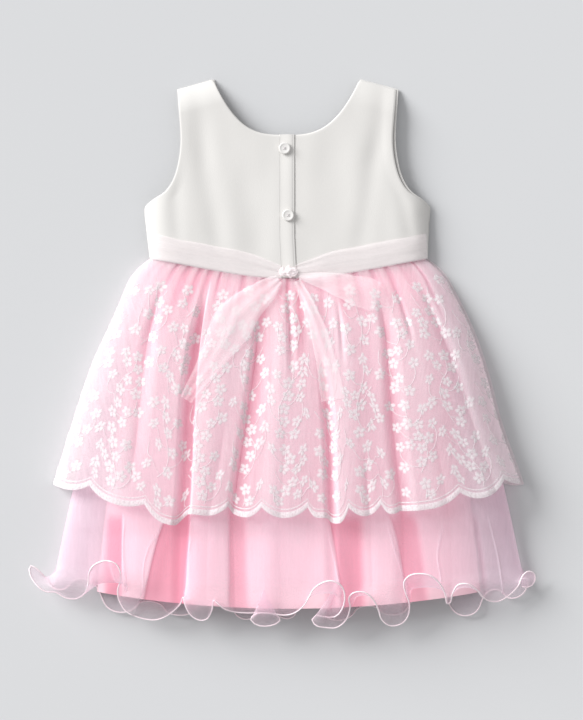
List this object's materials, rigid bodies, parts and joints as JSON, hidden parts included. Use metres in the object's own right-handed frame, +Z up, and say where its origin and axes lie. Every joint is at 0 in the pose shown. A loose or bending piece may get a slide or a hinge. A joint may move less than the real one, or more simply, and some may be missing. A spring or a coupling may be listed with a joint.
{
  "type": "toddler party dress",
  "caption": "Sleeveless toddler party dress lying on its front: white bodice, sheer sash, embroidered net overlay over a pink tulle and satin skirt.",
  "frame": {"origin": "middle of the dress's outline, on the surface it lies on", "axes": "+Y from the hem towards the neck, +Z up out of the buttoned back, +X to the right as seen from above"},
  "size_m": [0.4906, 0.5182, 0.0479],
  "materials": {
    "bodice_cloth": "smooth ivory white crepe",
    "button": "white, rounded rim",
    "sash_tulle": "sheer, very pale pink",
    "embroidered_net": "sheer net with white flower embroidery and a satin stitch border",
    "skirt_tulle": "sheer pale pink with a corded curled edge",
    "satin": "soft pink satin"
  },
  "bodies": {
    "root": {"bodice_front": "bodice_cloth", "bodice_back_left": "bodice_cloth", "bodice_back_right": "bodice_cloth", "placket": "bodice_cloth", "button_top": "button", "button_waist": "button", "sash_front": "sash_tulle", "sash_back_left": "sash_tulle", "sash_back_right": "sash_tulle", "sash_knot": "sash_tulle", "sash_tail_left": "sash_tulle", "sash_tail_right": "sash_tulle", "sash_loop": "sash_tulle", "overlay_front": "embroidered_net", "overlay_back": "embroidered_net", "tulle_front": "skirt_tulle", "tulle_back": "skirt_tulle", "satin_front": "satin", "satin_back": "satin"}
  },
  "joints": []
}
